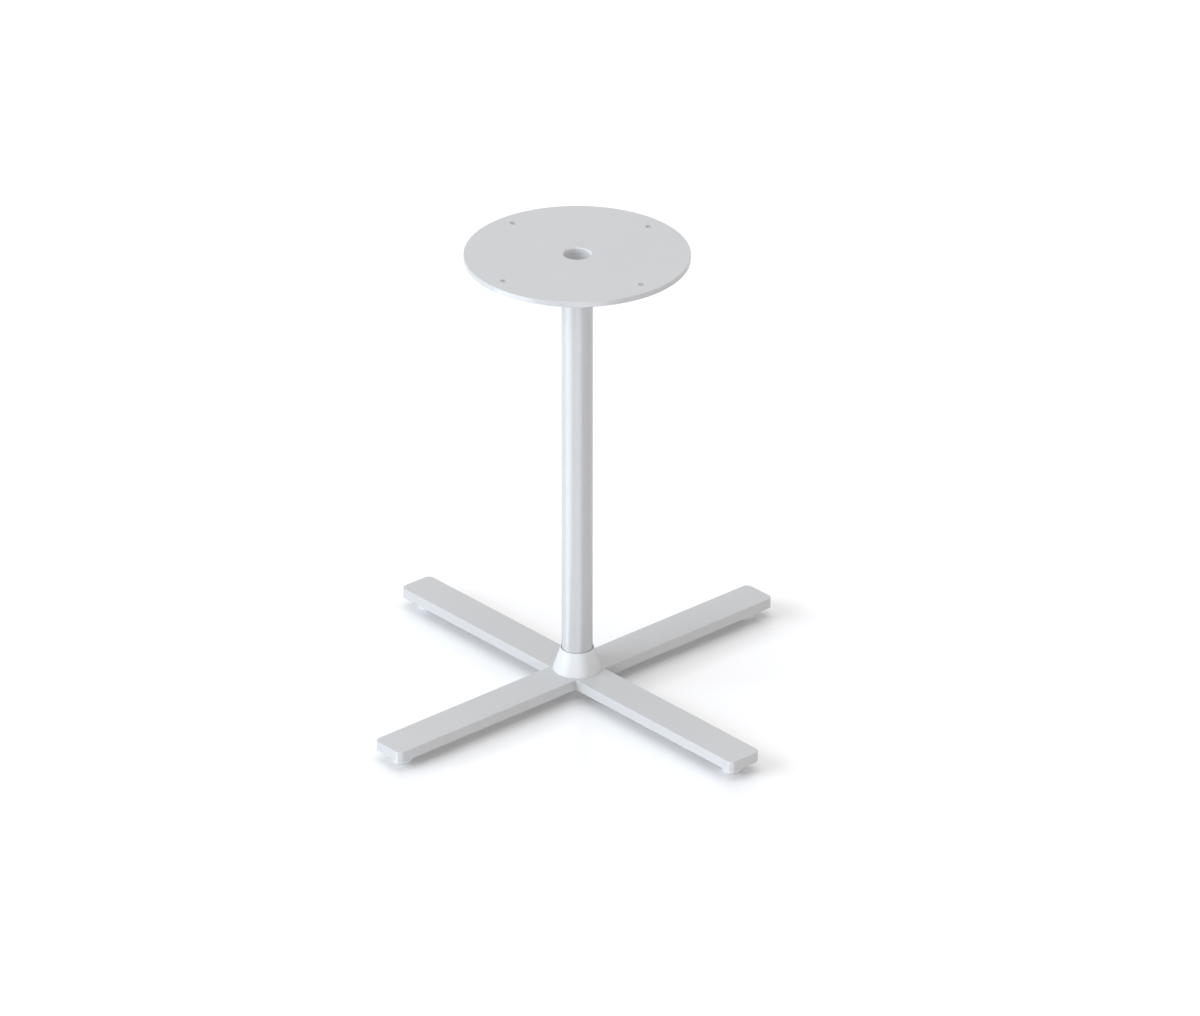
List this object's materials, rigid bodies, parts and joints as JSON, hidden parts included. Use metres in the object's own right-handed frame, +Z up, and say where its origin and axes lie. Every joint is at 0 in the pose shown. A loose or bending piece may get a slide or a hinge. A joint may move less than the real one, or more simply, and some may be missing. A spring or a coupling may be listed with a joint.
{
  "type": "coffee table base",
  "caption": "Pedestal base for a small table: round screw plate on a slim tube column with a cone collar, standing on a flat cross foot with low glides.",
  "frame": {"origin": "on the floor, on the column's axis", "axes": "+Z up along the column, X and Y along the arms of the cross"},
  "size_m": [0.45, 0.45, 0.432],
  "materials": {
    "powder_coat": "light grey satin powder coat on steel",
    "collar_plastic": "pale grey moulded plastic, satin",
    "glide_plastic": "milky white moulded plastic",
    "bare_steel": "turned and welded bare steel",
    "zinc_screw": "zinc plated"
  },
  "bodies": {
    "root": {"top_plate": "powder_coat", "plate_weld": "powder_coat", "column_tube": "powder_coat", "tube_plug": "bare_steel", "plug_weld": "bare_steel", "base_collar": "collar_plastic", "base_cross": "powder_coat", "fixing_screw": "zinc_screw", "glide_right": "glide_plastic", "glide_back": "glide_plastic", "glide_left": "glide_plastic", "glide_front": "glide_plastic", "glide_screw_right": "zinc_screw", "glide_screw_back": "zinc_screw", "glide_screw_left": "zinc_screw", "glide_screw_front": "zinc_screw"}
  },
  "joints": []
}
